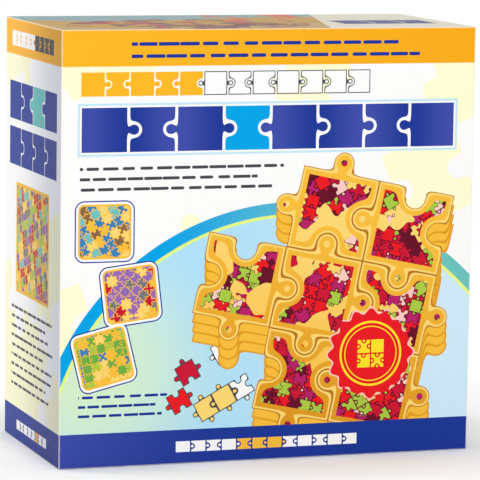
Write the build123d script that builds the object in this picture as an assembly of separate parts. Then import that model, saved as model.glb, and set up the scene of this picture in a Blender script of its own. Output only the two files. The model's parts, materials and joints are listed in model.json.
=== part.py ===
from build123d import *
import math
import os

# A square game case that stores six sorting trays. The case is a rigid
# two-piece box of greyboard covered in paper: a full-depth lid slides over a
# base. It stands on one side wall, with the lid's printed panel to the front.
# X is the width, -Y the front and Z up. The origin is the middle of the
# standing face. All lengths are in millimetres.

# Sorting trays: square, with round lobes at the corners and a round notch in
# the middle of each side, so that each looks like a jigsaw piece. Under the
# upright band at the rim, the foot draws in towards the floor, and the foot of
# the next tray wedges into the rim.
tray_count = 6
tray_side = 256.0  # across the square outline
tray_height = 28.4
tray_wall = 1.6
tray_floor = 1.6
lobe_radius = 16.0  # corners of the outline
notch_radius = 28.0
notch_depth = 28.0  # from the side to the bottom of the notch
mouth_radius = 12.0  # rounding between the notch and the side
rim_band = 15.0  # height of the upright band
nest_depth = 8.8  # how far a foot drops into the tray below
nest_clearance = 0.2  # between a foot and the rim that it wedges into

# Case: boards, paper and fits
board = 2.0
paper = 0.25
turn_in = 18.0  # paper folded over the wall edges to the inside
edge_radius = 1.0  # outside edges of the covering
crushed_edge = 0.5  # chamfer on the boards' outside edges
stay_paper = 0.2  # gummed tape at the wall corners, under the covering
stay_leg = 20.0  # width of the tape on each wall
stay_start = 3.0  # from the inside of the closed panel to the tape
tray_clearance = 1.0  # each side, between a tray and the base's folded paper
lid_clearance = 0.5  # each side, between the base and the lid's folded paper
headroom = 0.6  # between the top tray and the lid's panel
base_rim_gap = 1.0  # between the base's wall edges and the lid's panel
lid_rim_reveal = 1.5  # how far the lid's walls stop short of the base's back

# Worked out from the sizes above
covered_board = board + paper
foot_height = tray_height - rim_band
pitch = tray_height - nest_depth
exposed_foot = pitch - rim_band
foot_slope = math.degrees(math.atan((tray_wall + nest_clearance) / exposed_foot))
stack_height = tray_height + (tray_count - 1) * pitch
base_inside = tray_side + 2 * (tray_clearance + paper)
base_outside = base_inside + 2 * covered_board
lid_inside = base_outside + 2 * (lid_clearance + paper)
case_side = lid_inside + 2 * covered_board
case_depth = stack_height + headroom + 2 * covered_board
base_depth = case_depth - covered_board - base_rim_gap
lid_depth = case_depth - lid_rim_reveal

case_front = -case_depth / 2
case_back = case_depth / 2
centre_height = case_side / 2

# Local frames: z runs from the closed side towards the open side
base_frame = Plane(origin=(0, case_back, centre_height), x_dir=(1, 0, 0), z_dir=(0, -1, 0))
lid_frame = Plane(origin=(0, case_front, centre_height), x_dir=(-1, 0, 0), z_dir=(0, 1, 0))
base_sides = ("right", "top", "left", "bottom")  # anticlockwise from local +x
lid_sides = ("left", "top", "right", "bottom")

on_base = (Align.CENTER, Align.CENTER, Align.MIN)


def tray_outline(inset):
    """The tray's outline, moved inwards by inset, as one face."""
    half = tray_side / 2
    notch_centre = half - notch_depth + notch_radius
    reach = notch_radius + mouth_radius
    mouth_drop = notch_centre - (half - mouth_radius)
    mouth_x = math.sqrt(reach**2 - mouth_drop**2)
    tilt = math.degrees(math.asin(mouth_drop / reach))
    corner = half - lobe_radius
    mouth_sweep = 90 - tilt
    side = [
        Line((-corner, half - inset), (-mouth_x, half - inset)),
        CenterArc((-mouth_x, half - mouth_radius), mouth_radius - inset, 90, -mouth_sweep),
        CenterArc((0, notch_centre), notch_radius + inset, 180 + tilt, 180 - 2 * tilt),
        CenterArc((mouth_x, half - mouth_radius), mouth_radius - inset, 90, mouth_sweep),
        Line((mouth_x, half - inset), (corner, half - inset)),
        CenterArc((corner, corner), lobe_radius - inset, 0, 90),
    ]
    edges = [Rot(0, 0, 90 * turn) * edge for turn in range(4) for edge in side]
    return Face(Wire(edges))


def upright_slab(inset, bottom, top):
    return Pos(0, 0, bottom) * extrude(tray_outline(inset), amount=top - bottom, dir=(0, 0, 1))


def drawn_in_slab(inset, bottom, top):
    """A slab whose sides slope inwards from its top to its bottom."""
    slab = extrude(tray_outline(inset), amount=top - bottom, dir=(0, 0, -1), taper=foot_slope)
    return Pos(0, 0, top) * slab


def sorting_tray():
    """One tray, floor down: an upright rim band over a foot that draws in."""
    band = upright_slab(0, foot_height, tray_height)
    foot = drawn_in_slab(0, 0, foot_height)
    band_space = upright_slab(tray_wall, foot_height, tray_height)
    foot_space = drawn_in_slab(tray_wall, tray_floor, foot_height)
    return band + foot - (band_space + foot_space)


def block(width, height, depth):
    """A block on its closed side, with its wall corners and its edges round that side."""
    solid = Box(width, height, depth, align=on_base)
    return solid, solid.edges().filter_by(Axis.Z) + solid.edges().group_by(Axis.Z)[0]


def rounded_block(width, height, depth):
    solid, outside_edges = block(width, height, depth)
    return fillet(outside_edges, edge_radius)


def chamfered_block(width, height, depth):
    solid, outside_edges = block(width, height, depth)
    return chamfer(outside_edges, crushed_edge)


def mitred_plate(length, width):
    """A plate of board with all four edges cut at 45 degrees, outer face at z = 0."""
    return extrude(Rectangle(length, width), amount=board, taper=45)


def case_half(width, height, depth, sides):
    """One covered half of the case, closed side at z = 0, as a dict of solids."""
    board_width = width - 2 * paper
    board_height = height - 2 * paper
    board_depth = depth - 2 * paper
    board_block = Pos(0, 0, paper) * chamfered_block(board_width, board_height, board_depth)
    cavity_width = board_width - 2 * board
    cavity_height = board_height - 2 * board

    # Gummed tapes round the four wall corners, let into the board
    tape_start = covered_board + stay_start
    tape_length = depth - paper - tape_start
    under_tape = chamfered_block(
        board_width - 2 * stay_paper, board_height - 2 * stay_paper, depth
    )
    corner_posts = [
        Pos(x * board_width / 2, y * board_height / 2, tape_start)
        * Box(2 * stay_leg, 2 * stay_leg, tape_length, align=on_base)
        for x in (-1, 1)
        for y in (-1, 1)
    ]
    tape_skin = board_block - under_tape
    stays = [tape_skin & post for post in corner_posts]

    # Five mitred boards
    boards = {"panel": Pos(0, 0, paper) * mitred_plate(board_width, board_height)}
    plate_depth = board_depth + 2 * board
    for turn, side in enumerate(sides):
        across, along = (board_width, board_height) if turn % 2 == 0 else (board_height, board_width)
        wall_plane = Plane(
            origin=(across / 2, 0, paper + plate_depth / 2), x_dir=(0, 1, 0), z_dir=(-1, 0, 0)
        )
        boards[side] = Rot(0, 0, 90 * turn) * (wall_plane * mitred_plate(along, plate_depth))
    solids = {}
    for name, plate in boards.items():
        solid = plate & board_block
        for stay in stays:
            solid = solid - stay
        solids[name] = solid

    # One sheet of paper: outside, over the wall edges and down the inside
    fold = Box(cavity_width, cavity_height, turn_in, align=on_base)
    mouth = Box(cavity_width - 2 * paper, cavity_height - 2 * paper, turn_in, align=on_base)
    sheet = rounded_block(width, height, depth) - board_block
    to_fold = Pos(0, 0, depth - turn_in)
    solids["wrap"] = sheet + to_fold * fold - to_fold * mouth
    solids["stays"] = Compound(children=stays)
    return solids


def place_half(prefix, panel_name, frame, solids):
    """Named nodes of one half of the case, in the part's own frame."""
    names = {"panel": panel_name, "wrap": "wrap", "stays": "corner_stays"}
    placed = {}
    for key, solid in solids.items():
        name = names.get(key, f"{key}_board")
        placed[f"{prefix}_{name}"] = frame.location * solid
    return placed


def build_nodes():
    nodes = {}
    base = case_half(base_outside, base_outside, base_depth, base_sides)
    nodes.update(place_half("base", "back_board", base_frame, base))
    lid = case_half(case_side, case_side, lid_depth, lid_sides)
    nodes.update(place_half("lid", "front_board", lid_frame, lid))
    tray = sorting_tray()
    for index in range(tray_count):
        lift = covered_board + index * pitch
        nodes[f"tray_{index + 1}"] = base_frame.location * (Pos(0, 0, lift) * tray)
    return nodes


os.makedirs("parts", exist_ok=True)
for node_name, shape in build_nodes().items():
    export_step(shape, f"parts/{node_name}.step")
print(f"case {case_side:.2f} x {case_depth:.2f} x {case_side:.2f} mm, tray pitch {pitch:.2f} mm")
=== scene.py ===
import json
import math

import bmesh
import bpy
from mathutils import Matrix, Vector


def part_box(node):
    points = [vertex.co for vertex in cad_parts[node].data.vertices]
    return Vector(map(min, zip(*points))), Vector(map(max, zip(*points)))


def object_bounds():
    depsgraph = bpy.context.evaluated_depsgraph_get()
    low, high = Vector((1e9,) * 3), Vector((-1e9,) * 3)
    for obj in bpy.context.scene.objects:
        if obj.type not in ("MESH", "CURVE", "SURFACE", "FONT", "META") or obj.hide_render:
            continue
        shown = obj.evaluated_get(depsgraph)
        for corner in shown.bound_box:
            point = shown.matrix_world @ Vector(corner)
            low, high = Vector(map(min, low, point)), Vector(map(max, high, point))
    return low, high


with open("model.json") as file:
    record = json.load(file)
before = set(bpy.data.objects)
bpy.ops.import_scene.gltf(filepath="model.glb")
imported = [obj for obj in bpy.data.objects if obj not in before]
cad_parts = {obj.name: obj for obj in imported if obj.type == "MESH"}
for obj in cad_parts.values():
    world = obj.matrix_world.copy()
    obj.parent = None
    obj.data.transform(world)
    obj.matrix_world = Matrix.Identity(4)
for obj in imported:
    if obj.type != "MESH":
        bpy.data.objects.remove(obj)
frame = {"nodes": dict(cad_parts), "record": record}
cadLow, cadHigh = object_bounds()
millimetres = 1000  # the print is laid out in millimetres
caseWidth = (cadHigh.x - cadLow.x) * millimetres
caseHeight = (cadHigh.z - cadLow.z) * millimetres
lidLow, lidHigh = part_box("lid_wrap")
lidDepth = (lidHigh.y - lidLow.y) * millimetres
print("frame loaded:", len(frame["nodes"]), "nodes")

# factors that turn a column, a row, a seed and a sine into a random number
scramble = {"column": 12.9898, "row": 78.233, "seed": 3.71, "sine": 4375.8545}


# shader maths
class Value:
    # one socket, with the operators that the finishes use
    def __init__(self, ink, socket):
        self.ink = ink
        self.socket = socket

    def __add__(self, other):
        return self.ink.sum("ADD", self, other)

    __radd__ = __add__

    def __mul__(self, other):
        return self.ink.sum("MULTIPLY", self, other)

    __rmul__ = __mul__

    def __sub__(self, other):
        return self.ink.sum("SUBTRACT", self, other)

    def __rsub__(self, other):
        return self.ink.sum("SUBTRACT", other, self)

    def __truediv__(self, other):
        return self.ink.sum("DIVIDE", self, other)

    def __abs__(self):
        return self.ink.sum("ABSOLUTE", self)

    def __lt__(self, other):
        return self.ink.sum("LESS_THAN", self, other)

    def __gt__(self, other):
        return self.ink.sum("GREATER_THAN", self, other)

    def __and__(self, other):
        return self.ink.sum("MULTIPLY", self, other)

    def __or__(self, other):
        return self.ink.sum("MAXIMUM", self, other)


class Ink:
    # draws on one node tree
    def __init__(self, tree):
        self.tree = tree

    def node(self, kind, settings=None, inputs=None):
        made = self.tree.nodes.new(kind)
        for key, setting in (settings or {}).items():
            if key == "stops":
                self.setStops(made.color_ramp, setting)
            elif key == "blend":
                made.color_ramp.interpolation = setting
            else:
                setattr(made, key, setting)
        for key, given in (inputs or {}).items():
            if isinstance(given, Value):
                self.tree.links.new(given.socket, made.inputs[key])
            else:
                made.inputs[key].default_value = given
        return made

    def setStops(self, ramp, stops):
        for position, tone in stops[1:-1]:
            ramp.elements.new(position).color = tone
        for index in (0, -1):
            position, tone = stops[index]
            ramp.elements[index].position, ramp.elements[index].color = position, tone

    def one(self, kind, settings=None, inputs=None, output=0):
        return Value(self, self.node(kind, settings, inputs).outputs[output])

    def sum(self, operation, *terms):
        return self.one("ShaderNodeMath", {"operation": operation}, dict(enumerate(terms)))

    def low(self, first, *others):
        for other in others:
            first = self.sum("MINIMUM", first, other)
        return first

    def high(self, first, *others):
        for other in others:
            first = self.sum("MAXIMUM", first, other)
        return first

    def far(self, x, y):
        return self.sum("SQRT", x * x + y * y)

    def within(self, term, start, end):
        return (term > start) & (term < end)

    def spread(self, term, width, least):
        return term * width + least

    def fade(self, term, start, end):
        # smoothly from 0 at the start to 1 at the end
        settings = {"interpolation_type": "SMOOTHSTEP"}
        inputs = {0: term, 1: start, 2: end, 3: 0.0, 4: 1.0}
        return self.one("ShaderNodeMapRange", settings, inputs)

    def draw(self, column, row, seed):
        # one fixed random number for each pair of whole numbers
        key = column * scramble["column"] + row * scramble["row"] + seed * scramble["seed"]
        return self.sum("FRACT", self.sum("SINE", key) * scramble["sine"])

    def mix(self, under, over, mask, blend="MIX"):
        settings = {"data_type": "RGBA", "blend_type": blend}
        return self.one("ShaderNodeMix", settings, {0: mask, 6: under, 7: over}, 2)

    def flatRamp(self, term, names):
        # bands of the named inks, with hard edges
        stops = [(index / len(names), inks[name]) for index, name in enumerate(names)]
        settings = {"stops": stops + [(1.0, stops[-1][1])], "blend": "CONSTANT"}
        return self.one("ShaderNodeValToRGB", settings, {0: term})

    def place(self):
        return self.one("ShaderNodeTexCoord", output="Object")

    def cloud(self, scale, detail=2.0, roughness=0.5):
        # noise, with the scale in lumps to the metre
        inputs = {"Vector": self.place(), "Scale": scale, "Detail": detail, "Roughness": roughness}
        return self.one("ShaderNodeTexNoise", None, inputs)

    def split(self, where):
        made = self.node("ShaderNodeSeparateXYZ", None, {0: where})
        return [Value(self, socket) for socket in made.outputs]

    def stamp(self, motif, *given):
        made = self.node("ShaderNodeGroup", {"node_tree": motif}, dict(enumerate(given)))
        results = [Value(self, socket) for socket in made.outputs]
        return results if len(results) > 1 else results[0]


def motif(name, inputs, outputs, drawing):
    # a node group, so that a motif is drawn once and stamped many times
    tree = bpy.data.node_groups.new(name, "ShaderNodeTree")
    for label in inputs:
        tree.interface.new_socket(label, in_out="INPUT", socket_type="NodeSocketFloat")
    for label, kind in outputs.items():
        tree.interface.new_socket(label, in_out="OUTPUT", socket_type="NodeSocket" + kind)
    ink = Ink(tree)
    given = ink.node("NodeGroupInput")
    results = drawing(ink, *[Value(ink, given.outputs[label]) for label in inputs])
    if isinstance(results, Value):
        results = [results]
    ink.node("NodeGroupOutput", None, dict(zip(outputs, results)))
    return tree


class Finish(Ink):
    # one material
    def __init__(self, name):
        self.material = bpy.data.materials.new(name)
        self.material.use_nodes = True
        super().__init__(self.material.node_tree)
        self.shader = self.tree.nodes["Principled BSDF"]

    def set(self, **sockets):
        names = {
            "tone": "Base Color",
            "roughness": "Roughness",
            "shine": "Specular IOR Level",
            "glow": "Subsurface Weight",
            "glowDepth": "Subsurface Radius",
        }
        for key, given in sockets.items():
            socket = self.shader.inputs[names[key]]
            if isinstance(given, Value):
                self.tree.links.new(given.socket, socket)
            else:
                socket.default_value = given

    def bump(self, height, strength, distance):
        inputs = {"Height": height, "Strength": strength, "Distance": distance}
        made = self.node("ShaderNodeBump", None, inputs)
        self.tree.links.new(made.outputs[0], self.shader.inputs["Normal"])


def linear(level):
    # a screen level, 0 to 255, as the linear level that shaders take
    share = level / 255
    return share / 12.92 if share <= 0.04045 else ((share + 0.055) / 1.055) ** 2.4


def colour(red, green, blue):
    return linear(red), linear(green), linear(blue), 1.0


inks = {
    "white": colour(253, 253, 252),
    "orange": colour(255, 186, 38),
    "orangeDeep": colour(250, 172, 26),
    "navy": colour(28, 56, 150),
    "violetBlue": colour(66, 80, 172),
    "sky": colour(178, 226, 250),
    "paleGreen": colour(214, 240, 206),
    "cyan": colour(0, 165, 232),
    "teal": colour(110, 196, 192),
    "lime": colour(228, 250, 132),
    "paleYellow": colour(255, 254, 214),
    "gold": colour(250, 192, 62),
    "goldPale": colour(255, 218, 118),
    "goldDeep": colour(224, 152, 32),
    "goldDark": colour(184, 112, 24),
    "crimson": colour(206, 24, 54),
    "magenta": colour(184, 34, 104),
    "wine": colour(104, 16, 42),
    "red": colour(236, 28, 36),
    "rose": colour(255, 206, 196),
    "charcoal": colour(72, 74, 80),
    "grey": colour(120, 122, 128),
    "violet": colour(150, 106, 184),
    "green": colour(110, 176, 70),
    "leaf": colour(170, 204, 70),
    "blue": colour(58, 132, 186),
    "brown": colour(140, 104, 74),
    "yellow": colour(255, 230, 44),
    "coral": colour(232, 92, 52),
    "haze": colour(140, 184, 206),
    "ochre": colour(206, 164, 36),
    "tan": colour(208, 170, 100),
}

# motifs of the print
jigsaw = {"knobOffset": 0.12, "knobRadius": 0.13, "neck": 0.2}  # in parts of a cell
cellShift = 64  # keeps columns and rows above zero while they are drawn
seedSteps = {"rows": 7.5, "shown": 21.5, "tint": 33.5}  # so that one motif's draws differ


def turned(x, y, turnX, turnY):
    # a point in axes turned by an angle with this cosine and sine
    return x * turnX + y * turnY, y * turnX - x * turnY


def drawCut(ink, across, along, side):
    # signed distance to one cut with a knob, in cells
    ahead = across * side
    knob = ink.far(ahead - jigsaw["knobOffset"], along) - jigsaw["knobRadius"]
    return ink.sum("SMOOTH_MIN", ahead, knob, jigsaw["neck"])


def drawCells(ink, u, v, cell, seed):
    # an endless sheet of interlocking pieces: distance to the nearest cut, column and row
    a, b = u / cell + cellShift, v / cell + cellShift
    nearA, nearB = ink.sum("ROUND", a), ink.sum("ROUND", b)
    inA, inB = ink.sum("FLOOR", a), ink.sum("FLOOR", b)
    sideA = (ink.draw(nearA, inB, seed) > 0.5) * 2 - 1
    cutA = drawCut(ink, a - nearA, b - inB - 0.5, sideA)
    column = ink.sum("ROUND", nearA - 0.5 + sideA * ink.sum("SIGN", cutA) * 0.5)
    sideB = (ink.draw(inA, nearB, seed + seedSteps["rows"]) > 0.5) * 2 - 1
    cutB = drawCut(ink, b - nearB, a - inA - 0.5, sideB)
    row = ink.sum("ROUND", nearB - 0.5 + sideB * ink.sum("SIGN", cutB) * 0.5)
    return ink.low(abs(cutA), abs(cutB)) * cell, column - cellShift, row - cellShift


def drawScatter(ink, u, v, cell, turn, seed, share):
    # small pieces lying at one angle, some left out: mask, distance to the cut, random tint
    across, along = turned(u, v, ink.sum("COSINE", turn), ink.sum("SINE", turn))
    cut, column, row = ink.stamp(motifs["cells"], across, along, cell, seed)
    shown = ink.draw(column, row, seed + seedSteps["shown"]) < share
    return shown, cut, ink.draw(column, row, seed + seedSteps["tint"])


def drawStrip(ink, u, v, left, bottom, cell, height, count, seed):
    # a row of interlocking pieces with straight outer edges: distance inside, piece number
    a = (u - left) / cell
    b = v - bottom
    near = ink.sum("ROUND", a)
    side = (ink.draw(near, 0.0, seed) > 0.5) * 2 - 1
    cut = drawCut(ink, a - near, (b - height * 0.5) / cell, side)
    ends = (near < 0.5) | (near > count - 0.5)
    number = ink.sum("ROUND", near - 0.5 + side * ink.sum("SIGN", cut) * 0.5) * (1 - ends)
    number = number + ink.sum("FLOOR", a) * ends
    cut = abs(cut) * (1 - ends) + abs(a - near) * ends
    return ink.low(cut * cell, a * cell, (count - a) * cell, b, height - b), number


dash = {
    "length": 6.0,  # in thicknesses, with the gap
    "shift": 0.37,  # from one row to the next, in lengths
    "filled": (0.38, 0.5),  # spread and least, in lengths
    "filledSeed": 17.0,
    "ragged": 0.3,  # how far a row may fall short, in parts of its width
    "raggedSeed": (3.0, 5.0),
}


def drawRules(ink, u, v, start, end, bottom, pitch, thickness):
    # rows of rounded dashes of several lengths, with uneven ends
    row = ink.sum("FLOOR", (v - bottom) / pitch)
    y = (ink.sum("FRACT", (v - bottom) / pitch) - 0.5) * pitch
    length = thickness * dash["length"]
    a = u / length + row * dash["shift"]
    drawn = ink.draw(ink.sum("FLOOR", a), row, dash["filledSeed"])
    filled = ink.spread(drawn, *dash["filled"])
    x = ink.high(abs(ink.sum("FRACT", a) - 0.5) - filled / 2, 0.0) * length
    short = ink.draw(row, *dash["raggedSeed"]) * (end - start) * dash["ragged"]
    return (ink.far(x, y) < thickness / 2) & ink.within(u, start, end - short)


def drawSquare(ink, u, v, atU, atV, half, corner, turn):
    # signed distance to a square with round corners
    across, up = turned(u - atU, v - atV, ink.sum("COSINE", turn), ink.sum("SINE", turn))
    flat = half - corner
    return ink.far(ink.high(abs(across) - flat, 0.0), ink.high(abs(up) - flat, 0.0)) - corner


motifs = {}
for motifName, motifInputs, motifOutputs, motifDrawing in (
    ("cells", "u v cell seed", "cut column row", drawCells),
    ("scatter", "u v cell turn seed share", "mask cut tint", drawScatter),
    ("strip", "u v left bottom cell height count seed", "inside number", drawStrip),
    ("rules", "u v start end bottom pitch thickness", "mask", drawRules),
    ("square", "u v atU atV half corner turn", "distance", drawSquare),
):
    socketKinds = dict.fromkeys(motifOutputs.split(), "Float")
    motifs[motifName] = motif(motifName, motifInputs.split(), socketKinds, motifDrawing)
print("motifs drawn:", len(motifs))


def table(columns, rows):
    # rows of values as dictionaries, under the names of their columns
    return {name: dict(zip(columns.split(), row)) for name, row in rows.items()}


def pick(zones, numbers):
    # the number of the zone that a point lies in, for zones that don't overlap
    first, *others = [zone * number for zone, number in zip(zones, numbers)]
    return sum(others, first)


def pickAll(zones, rows, columns):
    # the same for each named column of a table that has one row for each zone
    return [pick(zones, [row[column] for row in rows.values()]) for column in columns.split()]


def stacked(masks):
    # the same masks with what lies under an earlier one cut away, and the rest
    zones, rest = [masks[0]], 1 - masks[0]
    for mask in masks[1:]:
        zones.append(mask & rest)
        rest = rest & (1 - mask)
    return zones + [rest]


tile = {
    "cell": 51.5,
    "turn": -0.21,
    "at": (124.0, 15.0),
    "columns": (-1.5, 1.5),
    "rows": (-0.5, 2.5),
    "depth": 18.0,
    "layers": 3,
    "layerLine": (0.3, 1.5),  # shade along the edge of each lower layer
    "line": (0.3, 0.7),  # dark line along each cut
    "lip": 1.7,
    "wall": 4.6,
    "light": (-20.0, 140.0),  # lighter upwards, between these heights
    "bare": 0.42,  # where the noise is under it, the pile leaves the floors bare
    "seed": 23.0,
}


def drawTiles(ink, u, v):
    # big golden tiles with a thick edge, lowest layer first: layers' mask and shade, then the
    # top layer's mask, distance to the cut and height
    turnX, turnY = math.cos(tile["turn"]), math.sin(tile["turn"])
    edges, shade = 0.0, 0.0
    for layer in range(tile["layers"], -1, -1):
        rise = tile["depth"] * (1 - layer / tile["layers"])
        x, y = u - tile["at"][0], v - (tile["at"][1] + rise)
        across, up = turned(x, y, turnX, turnY)
        cut, column, row = ink.stamp(motifs["cells"], across, up, tile["cell"], tile["seed"])
        laid = ink.within(column, *tile["columns"]) & ink.within(row, *tile["rows"])
        # of the left column, only the middle tile is laid
        laid = laid & (1 - ((column < -0.5) & (abs(row - 1) > 0.5)))
        if layer:
            shade = ink.fade(cut, *tile["layerLine"]) * laid + shade * (1 - laid)
            edges = laid | edges
    return edges, shade, laid, cut, up


def inkTiles(ink, art, front, edges, shade, laid, cut, up):
    art = ink.mix(art, ink.mix(inks["goldDeep"], inks["gold"], shade), edges & front)
    lit = ink.fade(up, *tile["light"])
    rim = ink.mix(inks["goldDark"], inks["goldPale"], ink.fade(cut, *tile["line"]))
    rim = ink.mix(rim, ink.mix(inks["goldDeep"], inks["gold"], lit), cut > tile["lip"])
    inside = laid & (cut > tile["wall"])
    rim = ink.mix(rim, ink.mix(inks["gold"], inks["goldPale"], lit), inside)
    return ink.mix(art, rim, laid & front)


# a few larger pieces that lie beside the tiles
loose = {
    "cell": 13.0,
    "turn": 0.5,
    "at": (97.0, 43.0),
    "reach": 2.1,  # in cells
    "flatness": 1.4,
    "share": 0.6,
    "outline": 0.6,
    "seed": 64.0,
    "tintSeed": 73.0,
    "colours": ["red", "white", "blue", "crimson", "goldPale", "white"],
}


def inkLoose(ink, art, u, v, front):
    x, y = u - loose["at"][0], v - loose["at"][1]
    placing = turned(x, y, math.cos(loose["turn"]), math.sin(loose["turn"]))
    cut, column, row = ink.stamp(motifs["cells"], *placing, loose["cell"], loose["seed"])
    shown = front & (ink.far(column, row * loose["flatness"]) < loose["reach"])
    shown = shown & (ink.draw(column, row, loose["seed"]) < loose["share"])
    tone = ink.flatRamp(ink.draw(column, row, loose["tintSeed"]), loose["colours"])
    art = ink.mix(art, inks["charcoal"], shown)
    return ink.mix(art, tone, shown & (cut > loose["outline"]))


disc = {
    "at": (150.0, -6.0),
    "radius": 160.0,
    "ring": 7.5,
    "line": 2.0,
    "ringFade": (60.0, 200.0),  # from cyan to teal, to the right
    "greenAt": (20.0, 60.0),
    "greenFade": (15.0, 95.0),  # from pale green to sky, outwards
    "paleFade": (90.0, 250.0),  # towards white, to the right
    "paleShare": 0.35,
}


def inkDisc(ink, art, u, v, front):
    edge = ink.far(u - disc["at"][0], v - disc["at"][1]) - disc["radius"]
    fromGreen = ink.far(u - disc["greenAt"][0], v - disc["greenAt"][1])
    tone = ink.mix(inks["paleGreen"], inks["sky"], ink.fade(fromGreen, *disc["greenFade"]))
    tone = ink.mix(tone, inks["white"], ink.fade(u, *disc["paleFade"]) * disc["paleShare"])
    art = ink.mix(art, tone, (edge < 0) & front)
    art = ink.mix(art, inks["lime"], ink.within(edge, -disc["line"], 0.0) & front)
    ring = ink.mix(inks["cyan"], inks["teal"], ink.fade(u, *disc["ringFade"]))
    return ink.mix(art, ring, ink.within(edge, 0.0, disc["ring"]) & front)


# a hill under a hazy sky, on the top
hill = {
    "wave": 38.0,
    "waveHeight": 16.0,
    "crest": 92.0,
    "foot": 26.0,
    "end": 172.0,  # past it, the sheet stays white
    "endSlant": 0.25,
    "heapAt": (96.0, 44.0),
    "heapFlatness": 0.55,
    "heapReach": 36.0,
    "heapSpread": 14.0,
    "heapBare": 0.44,
    "splash": (126.0, 188.0),
    "splashFoot": 50.0,
    "splashBare": 0.52,
}


def inkHill(ink, art, u, v, top):
    height = v + ink.sum("SINE", u / hill["wave"]) * hill["waveHeight"]
    tone = ink.mix(inks["haze"], inks["ochre"], height < hill["crest"])
    tone = ink.mix(tone, inks["tan"], height < hill["foot"])
    tone = ink.mix(tone, inks["white"], u - v * hill["endSlant"] > hill["end"])
    return ink.mix(art, tone, top)


def drawHeap(ink, u, v, lumps):
    # mask of the pieces that lie on the hill
    x, y = u - hill["heapAt"][0], v - hill["heapAt"][1]
    reach = hill["heapReach"] + lumps * hill["heapSpread"]
    return (ink.far(x * hill["heapFlatness"], y) < reach) & (lumps > hill["heapBare"])


swatches = {
    "at": [(28.0, 146.0), (45.0, 107.0), (28.0, 68.0)],
    "half": 19.0,
    "corner": 6.0,
    "turn": 0.12,  # more for each next one
    "line": 0.8,
    "border": 2.2,
    "margin": 3.4,  # from the edge to the pieces
}


def drawSwatches(ink, u, v):
    shape = swatches["half"], swatches["corner"]
    return [
        ink.stamp(motifs["square"], u, v, atU, atV, *shape, swatches["turn"] * index)
        for index, (atU, atV) in enumerate(swatches["at"])
    ]


def inkSwatches(ink, art, front, squares):
    edge = ink.low(*squares)
    art = ink.mix(art, inks["navy"], (edge < 0) & front)
    art = ink.mix(art, inks["white"], (edge < -swatches["line"]) & front)
    return ink.mix(art, inks["gold"], (edge < -swatches["border"]) & front)


badge = {
    "at": (202.4, 64.4),
    "radius": 27.0,
    "lobes": 16.0,
    "lobeDepth": 1.7,
    "edge": 1.1,
    "rings": [(20.0, 0.7), (17.2, 0.35)],  # radius and half the width
    "core": 9.2,  # half the side of the square of pieces
}


def inkBadge(ink, art, front, across, up, middle):
    lobes = ink.sum("COSINE", ink.sum("ARCTAN2", up, across) * badge["lobes"])
    edge = middle - badge["radius"] - lobes * badge["lobeDepth"]
    art = ink.mix(art, inks["rose"], (edge < badge["edge"]) & front)
    art = ink.mix(art, inks["red"], (edge < 0) & front)
    wide, narrow = [abs(middle - radius) < width for radius, width in badge["rings"]]
    return ink.mix(art, inks["yellow"], (wide | narrow) & front)


mosaic = {"left": 26.0, "right": 104.0, "bottom": 96.0, "top": 166.0, "frame": 2.0}


def drawMosaic(ink, u, v):
    # distance inside the panel
    across = ink.low(u - mosaic["left"], mosaic["right"] - u)
    return ink.low(across, v - mosaic["bottom"], mosaic["top"] - v)


# small pieces in each zone
pileColours = ["crimson", "magenta", "rose", "red", "wine", "crimson", "leaf", "red"]
scatters = table("cell turn seed share outline colours", {
    "badge": (9.2, 0.0, 5.0, 2.0, 0.45, ["yellow"]),
    "swatchOne": (5.4, 0.5, 51.0, 0.85, 0.2, ["blue", "brown", "teal", "blue", "goldPale"]),
    "swatchTwo": (5.4, 0.9, 54.0, 0.85, 0.2, ["violet", "crimson", "violet", "grey", "goldPale"]),
    "swatchThree": (5.4, 0.2, 57.0, 0.85, 0.2, ["green", "leaf", "blue", "green", "goldPale"]),
    "pile": (8.4, 0.5, 71.0, 0.8, 0.36, pileColours),
    "mosaic": (5.6, 0.3, 81.0, 0.9, 0.2, ["goldPale", "violet", "crimson", "grey", "teal", "leaf"]),
    "top": (10.0, 0.6, 91.0, 0.75, 0.4, ["wine", "brown", "crimson", "brown", "goldDark"]),
    "rest": (52.0, 0.36, 3.0, 0.42, 0.3, ["paleYellow"]),
})
secondPile = (7.8, 1.3, 77.0, 0.5, 0.34)  # across the first, in the same columns


def inkPieces(ink, art, u, v, zones, shown, face, tint):
    # shown is the mask of the pieces with their outlines, face the mask without them
    tone = ink.flatRamp(tint, pileColours)
    for name, row in scatters.items():
        if name not in ("pile", "rest"):
            tone = ink.mix(tone, ink.flatRamp(tint, row["colours"]), zones[name])
    art = ink.mix(art, inks["wine"], (zones["pile"] | zones["top"]) & shown)
    art = ink.mix(art, tone, face & (1 - zones["rest"]))
    *placing, outline = secondPile
    shown, cut, tint = ink.stamp(motifs["scatter"], u, v, *placing)
    shown = shown & zones["pile"]
    art = ink.mix(art, inks["wine"], shown)
    return ink.mix(art, ink.flatRamp(tint, pileColours), shown & (cut > outline))


bands = {
    "orange": caseHeight - 22.5,
    "navy": 21.5,
    "navyFade": (-60.0, 130.0),  # from violet blue to navy, along the front
}


def inkBands(ink, art, u, v, front, side):
    upper = ink.mix(inks["orange"], inks["orangeDeep"], u / caseWidth)
    art = ink.mix(art, upper, (v > bands["orange"]) & (front | side))
    fading = ink.high(side, ink.fade(u, *bands["navyFade"]))
    lower = ink.mix(inks["violetBlue"], inks["navy"], fading)
    return ink.mix(art, lower, (v < bands["navy"]) & (front | side))


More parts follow.
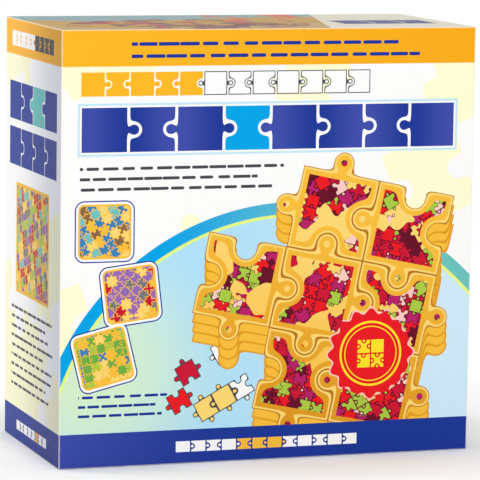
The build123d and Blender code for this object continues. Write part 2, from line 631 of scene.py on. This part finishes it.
# rows of interlocking pieces, which have the second tone from the first to the last named
stripColumns = "face left bottom cell height count seed first last tone secondTone"
strips = table(stripColumns, {
    "outlined": ("front", 12.0, 228.0, 15.6, 15.5, 12.0, 2.0, 5.0, 11.0, "orange", "white"),
    "big": ("front", 12.0, 193.5, 30.5, 29.0, 8.0, 4.0, 3.0, 3.0, "navy", "cyan"),
    "low": ("front", 74.5, 7.0, 10.0, 7.6, 12.0, 6.0, 4.0, 6.0, "white", "gold"),
    "sideUpper": ("side", 9.0, 205.0, 28.0, 25.0, 4.0, 12.0, 2.0, 2.0, "navy", "teal"),
    "sideLower": ("side", 9.0, 176.0, 28.0, 25.0, 4.0, 13.0, 8.0, 8.0, "navy", "teal"),
    "sideBand": ("side", 14.0, 251.5, 11.0, 10.5, 9.0, 15.0, 5.0, 9.0, "white", "charcoal"),
    "sideLow": ("side", 29.0, 7.0, 9.0, 7.0, 8.0, 14.0, 5.0, 5.0, "white", "gold"),
    "onTop": ("top", 194.0, 34.0, 21.0, 34.0, 3.0, 16.0, 9.0, 9.0, "navy", "navy"),
})
stripEdges = {
    "margin": 2.5,
    "gap": 0.45,  # half of it
    "line": 1.05,  # inner side of the dark outline
    "halo": (-0.3, 0.9),  # white line round the big pieces
    "frame": 1.6,  # pale band outside it
    "frameShare": 0.8,
    "shadeStart": 12.0,
    "shadeLength": 9.71,  # two big pieces to a wave of the shade
    "shadeDepth": 0.45,
    "shadeLevel": 0.5,
}


def inkStrips(ink, art, u, v, faces):
    margin, gap = stripEdges["margin"], stripEdges["gap"]
    rows = {}
    for name, row in strips.items():
        bottom, top = row["bottom"] - margin, row["bottom"] + row["height"] + margin
        rows[name] = faces[row["face"]] & ink.within(v, bottom, top)
    zones = rows.values()
    placing = pickAll(zones, strips, "left bottom cell height count seed")
    first, last = pickAll(zones, strips, "first last")
    inside, number = ink.stamp(motifs["strip"], u, v, *placing)
    second = ink.within(number, first - 0.5, last + 0.5)
    whichRow = pick(zones, [(index + 0.5) / len(strips) for index in range(len(strips))])
    tone = ink.flatRamp(whichRow, [row["tone"] for row in strips.values()])
    shade = ink.sum("COSINE", (u - stripEdges["shadeStart"]) / stripEdges["shadeLength"])
    shade = ink.spread(shade, stripEdges["shadeDepth"], stripEdges["shadeLevel"])
    tone = ink.mix(tone, inks["violetBlue"], rows["big"] * shade)
    secondTone = ink.flatRamp(whichRow, [row["secondTone"] for row in strips.values()])
    tone = ink.mix(tone, secondTone, second)
    framed = rows["big"] & (inside > -stripEdges["frame"]) * stripEdges["frameShare"]
    art = ink.mix(art, inks["sky"], framed)
    art = ink.mix(art, tone, (whichRow > 0) & (inside > gap))
    art = ink.mix(art, inks["white"], rows["big"] & ink.within(inside, *stripEdges["halo"]))
    outline = ink.within(inside, gap, stripEdges["line"])
    return ink.mix(art, inks["charcoal"], rows["outlined"] & second & outline)


# blocks of dashed rules
rules = table("face start end bottom pitch thickness count", {
    "banner": ("front", 44.0, 254.0, 248.9, 7.4, 2.2, 2),
    "block": ("front", 12.0, 150.0, 168.6, 6.3, 1.9, 3),
    "note": ("front", 12.0, 72.0, 29.5, 5.8, 1.7, 3),
    "side": ("side", 16.0, 116.0, 33.0, 6.2, 1.8, 9),
})


def inkRules(ink, art, u, v, faces):
    blocks = {}
    for name, row in rules.items():
        top = row["bottom"] + row["pitch"] * row["count"]
        blocks[name] = faces[row["face"]] & ink.within(v, row["bottom"], top)
    *placing, thickness = pickAll(blocks.values(), rules, "start end bottom pitch thickness")
    dashes = ink.stamp(motifs["rules"], u, v, *placing, thickness)
    tone = ink.mix(inks["charcoal"], inks["navy"], blocks["banner"] | blocks["note"])
    return ink.mix(art, tone, dashes & (thickness > 0))


lumpScale = 26.0  # of the noise that piles and hill share


def drawSheet(ink, u, v, front, side, top):
    # the whole printed sheet: u runs to the right and v up on each face
    faces = {"front": front, "side": side, "top": top}
    lumps = ink.cloud(lumpScale)
    *layers, laid, tileCut, up = drawTiles(ink, u, v)
    squares = drawSwatches(ink, u, v)
    across, rise = u - badge["at"][0], v - badge["at"][1]
    middle = ink.far(across, rise)
    panel = drawMosaic(ink, u, v)
    # zones of small pieces
    core = ink.high(abs(across), abs(rise)) < badge["core"]
    floors = laid & (tileCut > tile["wall"]) & (middle > badge["radius"])
    masks = [front & core]
    masks += [front & (square < -swatches["margin"]) for square in squares]
    masks.append(front & floors & (lumps > tile["bare"]))
    masks.append(side & (panel > mosaic["frame"]))
    masks.append(top & drawHeap(ink, u, v, lumps))
    zones = dict(zip(scatters, stacked(masks)))
    columns = "cell turn seed share outline"
    *placing, outline = pickAll(zones.values(), scatters, columns)
    shown, cut, tint = ink.stamp(motifs["scatter"], u, v, *placing)
    face = shown & (cut > outline)
    # the ground first, then what lies on it
    art = ink.mix(inks["white"], inks["paleYellow"], face & zones["rest"])
    art = inkDisc(ink, art, u, v, front)
    art = inkHill(ink, art, u, v, top)
    art = inkLoose(ink, art, u, v, front)
    art = inkTiles(ink, art, front, *layers, laid, tileCut, up)
    art = inkSwatches(ink, art, front, squares)
    art = inkBadge(ink, art, front, across, rise, middle)
    art = ink.mix(art, inks["gold"], (panel > 0) & side)
    art = inkPieces(ink, art, u, v, zones, shown, face, tint)
    splash = ink.within(u, *hill["splash"]) & (v > hill["splashFoot"])
    art = ink.mix(art, inks["coral"], top & splash & (lumps > hill["splashBare"]))
    art = inkBands(ink, art, u, v, front, side)
    art = inkStrips(ink, art, u, v, faces)
    return inkRules(ink, art, u, v, faces)


printFinish = {
    # painted shade: a grey that darkens the left wall, more towards the front
    "paintedWallShade": (200, 202, 212),
    "paintedWallShadeStart": 10.0,  # from the back edge
    # painted shade: a dull tone that darkens the whole top
    "paintedTopShade": (214, 208, 190),
    "inside": (240, 238, 232),
    "thickness": 1.2,  # past it, a point is on the sheet's inner side
    # worn paper and painted highlight: a pale tone along the edges
    "wornAndHighlightTone": (255, 250, 238),
    "wearAndHighlight": (0.2, 1.0),  # from an edge, where the wear and painted highlight are full and where they end
    "wearAndHighlightShare": (0.7, 0.25),  # spread and least, as for the roughness
    "patches": (240.0, 3.0),  # scale and detail
    "roughness": (0.14, 0.3),
    "shine": 0.05,
    "grain": 900.0,
    "bump": (0.06, 0.0002),  # strength and height in metres
}


def printedPaper():
    ink = Finish("printedPaper")
    x, y, z = ink.split(ink.place())
    right = x * millimetres + caseWidth / 2
    height = z * millimetres
    depth = y * millimetres - lidLow.y * millimetres
    sideX = ink.low(right, caseWidth - right)
    sideZ = ink.low(height, caseHeight - height)
    front = depth < ink.low(sideX, sideZ)
    side = (1 - front) & (sideX < sideZ)
    top = (1 - front) & (1 - side) & (height > caseHeight / 2)
    leftHalf = right < caseWidth / 2
    fromEdge = leftHalf * (lidDepth - depth) + (1 - leftHalf) * depth
    u = right * (1 - side) + fromEdge * side
    v = height * (front | side) + depth * top
    sheet = motif("sheet", ("u", "v", "front", "side", "top"), {"tone": "Color"}, drawSheet)
    art = ink.mix(inks["navy"], ink.stamp(sheet, u, v, front, side, top), front | side | top)
    # painted shade: the left wall's print is darkened towards the front, and the whole top's print
    # is darkened duller
    paintedWallShadeShare = side * leftHalf * ink.fade(u, printFinish["paintedWallShadeStart"], lidDepth)
    art = ink.mix(art, colour(*printFinish["paintedWallShade"]), paintedWallShadeShare, "MULTIPLY")
    # painted shade over the whole top
    art = ink.mix(art, colour(*printFinish["paintedTopShade"]), top, "MULTIPLY")
    # the sheet's inner side is plain
    nearest = ink.low(sideX, sideZ, depth)
    art = ink.mix(art, colour(*printFinish["inside"]), nearest > printFinish["thickness"])
    # the print is paler in patches where the sheet goes round an edge: partly wear, partly a
    # painted highlight
    fromBend = ink.low(ink.high(sideX, sideZ), ink.high(depth, ink.low(sideX, sideZ)))
    patches = ink.cloud(*printFinish["patches"])
    wearAndHighlightShare = ink.spread(patches, *printFinish["wearAndHighlightShare"])
    wearAndHighlight = (1 - ink.fade(fromBend, *printFinish["wearAndHighlight"])) * wearAndHighlightShare
    art = ink.mix(art, colour(*printFinish["wornAndHighlightTone"]), wearAndHighlight)
    ink.set(tone=art, roughness=ink.spread(patches, *printFinish["roughness"]))
    ink.set(shine=printFinish["shine"])
    ink.bump(ink.cloud(printFinish["grain"]), *printFinish["bump"])
    return ink.material


plainSheet = {
    "tone": (246, 245, 240),
    "shadow": (228, 226, 218),
    "shadowShare": 0.5,
    "fibres": (700.0, 4.0, 0.7),  # scale, detail and roughness of the noise
    "roughness": (0.15, 0.55),
    "shine": 0.3,
    "bump": (0.15, 0.0002),
}


def plainPaper():
    ink = Finish("plainPaper")
    fibres = ink.cloud(*plainSheet["fibres"])
    shadow = fibres * plainSheet["shadowShare"]
    tone = ink.mix(colour(*plainSheet["tone"]), colour(*plainSheet["shadow"]), shadow)
    ink.set(tone=tone, roughness=ink.spread(fibres, *plainSheet["roughness"]))
    ink.set(shine=plainSheet["shine"])
    ink.bump(fibres, *plainSheet["bump"])
    return ink.material


board = {
    "tone": (172, 166, 154),
    "dark": (134, 128, 118),
    "fibres": (420.0, 6.0, 0.75),
    "speck": (92, 86, 80),
    "specks": (1500.0, 1.0),
    "speckBare": 0.66,
    "speckShare": 0.5,
    "roughness": (0.1, 0.82),
    "shine": 0.2,
    "bump": (0.35, 0.0003),
}


def greyBoard():
    ink = Finish("greyBoard")
    fibres = ink.cloud(*board["fibres"])
    tone = ink.mix(colour(*board["tone"]), colour(*board["dark"]), fibres)
    specks = ink.cloud(*board["specks"]) > board["speckBare"]
    tone = ink.mix(tone, colour(*board["speck"]), specks * board["speckShare"])
    ink.set(tone=tone, roughness=ink.spread(fibres, *board["roughness"]), shine=board["shine"])
    ink.bump(fibres, *board["bump"])
    return ink.material


tape = {
    "tone": (208, 176, 124),
    "dark": (184, 146, 94),
    "fibres": (500.0, 5.0, 0.7),
    "roughness": (0.2, 0.5),
    "shine": 0.4,
    "bump": (0.2, 0.0002),
}


def gummedTape():
    ink = Finish("gummedTape")
    fibres = ink.cloud(*tape["fibres"])
    tone = ink.mix(colour(*tape["tone"]), colour(*tape["dark"]), fibres)
    ink.set(tone=tone, roughness=ink.spread(fibres, *tape["roughness"]), shine=tape["shine"])
    ink.bump(fibres, *tape["bump"])
    return ink.material


trayPlastic = {
    "tone": (253, 194, 58),
    "deep": (244, 174, 38),
    "flow": (9.0, 3.0),
    "grain": 1400.0,
    "roughness": (0.14, 0.32),
    "shine": 0.5,
    "glow": 0.08,
    "glowDepth": (0.004, 0.002, 0.0008),
    "bump": (0.08, 0.0001),
}


def mouldedPlastic():
    ink = Finish("trayPlastic")
    grain = ink.cloud(trayPlastic["grain"])
    flow = ink.cloud(*trayPlastic["flow"])
    tone = ink.mix(colour(*trayPlastic["tone"]), colour(*trayPlastic["deep"]), flow)
    ink.set(tone=tone, roughness=ink.spread(grain, *trayPlastic["roughness"]))
    ink.set(**{name: trayPlastic[name] for name in ("shine", "glow", "glowDepth")})
    ink.bump(grain, *trayPlastic["bump"])
    return ink.material


def dressNodes():
    finishes = {
        "printed_paper": printedPaper(),
        "plain_paper": plainPaper(),
        "greyboard": greyBoard(),
        "gummed_tape": gummedTape(),
        "tray_plastic": mouldedPlastic(),
    }
    for row in frame["record"]["subparts"]:
        for holder in frame["nodes"][row["node"]].material_slots:
            holder.material = finishes[row["material_slot"]]
    print("finishes set:", len(finishes))


# floor, light and camera
plainWhite = (1.0, 1.0, 1.0, 1.0)
stage = {
    "size": 60.0,
    "tone": (0.93, 0.93, 0.93, 1.0),
    "roughness": 0.9,
    "shine": 0.0,
    "clear": (0.01, 0.14),  # distance from the case in which its shadow fades out
}


def seenDirectly(ink):
    # rays from the camera, and those that a gloss or a glass sends on
    path = ink.node("ShaderNodeLightPath")
    kinds = ("Camera", "Glossy", "Transmission")
    return ink.high(*[Value(ink, path.outputs[f"Is {kind} Ray"]) for kind in kinds])


def makeFloor():
    shape = bmesh.new()
    bmesh.ops.create_grid(shape, x_segments=1, y_segments=1, size=stage["size"] / 2)
    mesh = bpy.data.meshes.new("floor")
    shape.to_mesh(mesh)
    shape.free()
    floor = bpy.data.objects.new("floor", mesh)
    bpy.context.scene.collection.objects.link(floor)
    ink = Finish("floor")
    ink.set(**{name: stage[name] for name in ("tone", "roughness", "shine")})
    # away from the case, the floor shows plain white
    x, y, z = ink.split(ink.place())
    beside = ink.high(abs(x) - cadHigh.x, abs(y) - cadHigh.y)
    far = ink.fade(beside, *stage["clear"])
    white = ink.node("ShaderNodeEmission", None, {"Color": plainWhite, "Strength": 1.0})
    blend = ink.node("ShaderNodeMixShader", None, {0: far * seenDirectly(ink)})
    ink.tree.links.new(ink.shader.outputs[0], blend.inputs[1])
    ink.tree.links.new(white.outputs[0], blend.inputs[2])
    ink.tree.links.new(blend.outputs[0], ink.tree.nodes["Material Output"].inputs[0])
    mesh.materials.append(ink.material)


lamps = {
    "sky": 0.55,
    "frontSoft": {"at": (-0.2, -2.1, 2.6), "size": 1.6, "power": 44.5},
    "backSoft": {"at": (-1.6, 1.0, 1.4), "size": 1.4, "power": 15.0},
}


def makeLight():
    world = bpy.data.worlds.new("studio")
    bpy.context.scene.world = world
    world.use_nodes = True
    world.node_tree.nodes.clear()
    ink = Ink(world.node_tree)
    strength = seenDirectly(ink) * (1 - lamps["sky"]) + lamps["sky"]
    sky = ink.node("ShaderNodeBackground", None, {"Color": plainWhite, "Strength": strength})
    shown = ink.node("ShaderNodeOutputWorld")
    world.node_tree.links.new(sky.outputs[0], shown.inputs[0])
    aim = Vector((0, 0, (cadLow.z + cadHigh.z) / 2))
    for name in ("frontSoft", "backSoft"):
        lamp = lamps[name]
        light = bpy.data.lights.new(name, "AREA")
        light.shape = "DISK"
        light.size = lamp["size"]
        light.energy = lamp["power"]
        holder = bpy.data.objects.new(name, light)
        bpy.context.scene.collection.objects.link(holder)
        holder.location = lamp["at"]
        holder.rotation_euler = (aim - Vector(lamp["at"])).to_track_quat("-Z", "Y").to_euler()


camera = {
    "at": (-0.6674, -1.97615, 0.39942),
    "yaw": 0.3269,  # to the right of +Y
    "pitch": 0.1286,  # downwards
    "roll": 0.0144,
    "focalPixels": 3300.0,
    "framePixels": 480,
    "sensor": 36.0,
    "farthest": 100.0,
}


def makeCamera():
    data = bpy.data.cameras.new("camera")
    data.sensor_width = camera["sensor"]
    data.lens = camera["focalPixels"] / camera["framePixels"] * camera["sensor"]
    data.clip_end = camera["farthest"]
    holder = bpy.data.objects.new("camera", data)
    bpy.context.scene.collection.objects.link(holder)
    yaw, pitch, roll = camera["yaw"], camera["pitch"], camera["roll"]
    level = math.cos(pitch)
    ahead = Vector((math.sin(yaw) * level, math.cos(yaw) * level, -math.sin(pitch)))
    right = Vector((math.cos(yaw), -math.sin(yaw), 0))
    up = right.cross(ahead)
    rolledRight = right * math.cos(roll) + up * math.sin(roll)
    rolledUp = up * math.cos(roll) - right * math.sin(roll)
    turn = Matrix((rolledRight, rolledUp, -ahead)).transposed()
    holder.matrix_world = Matrix.Translation(camera["at"]) @ turn.to_4x4()
    bpy.context.scene.camera = holder


dressNodes()
makeFloor()
makeLight()
makeCamera()
bpy.context.scene.view_settings.view_transform = "Standard"
print("floor, light and camera set")
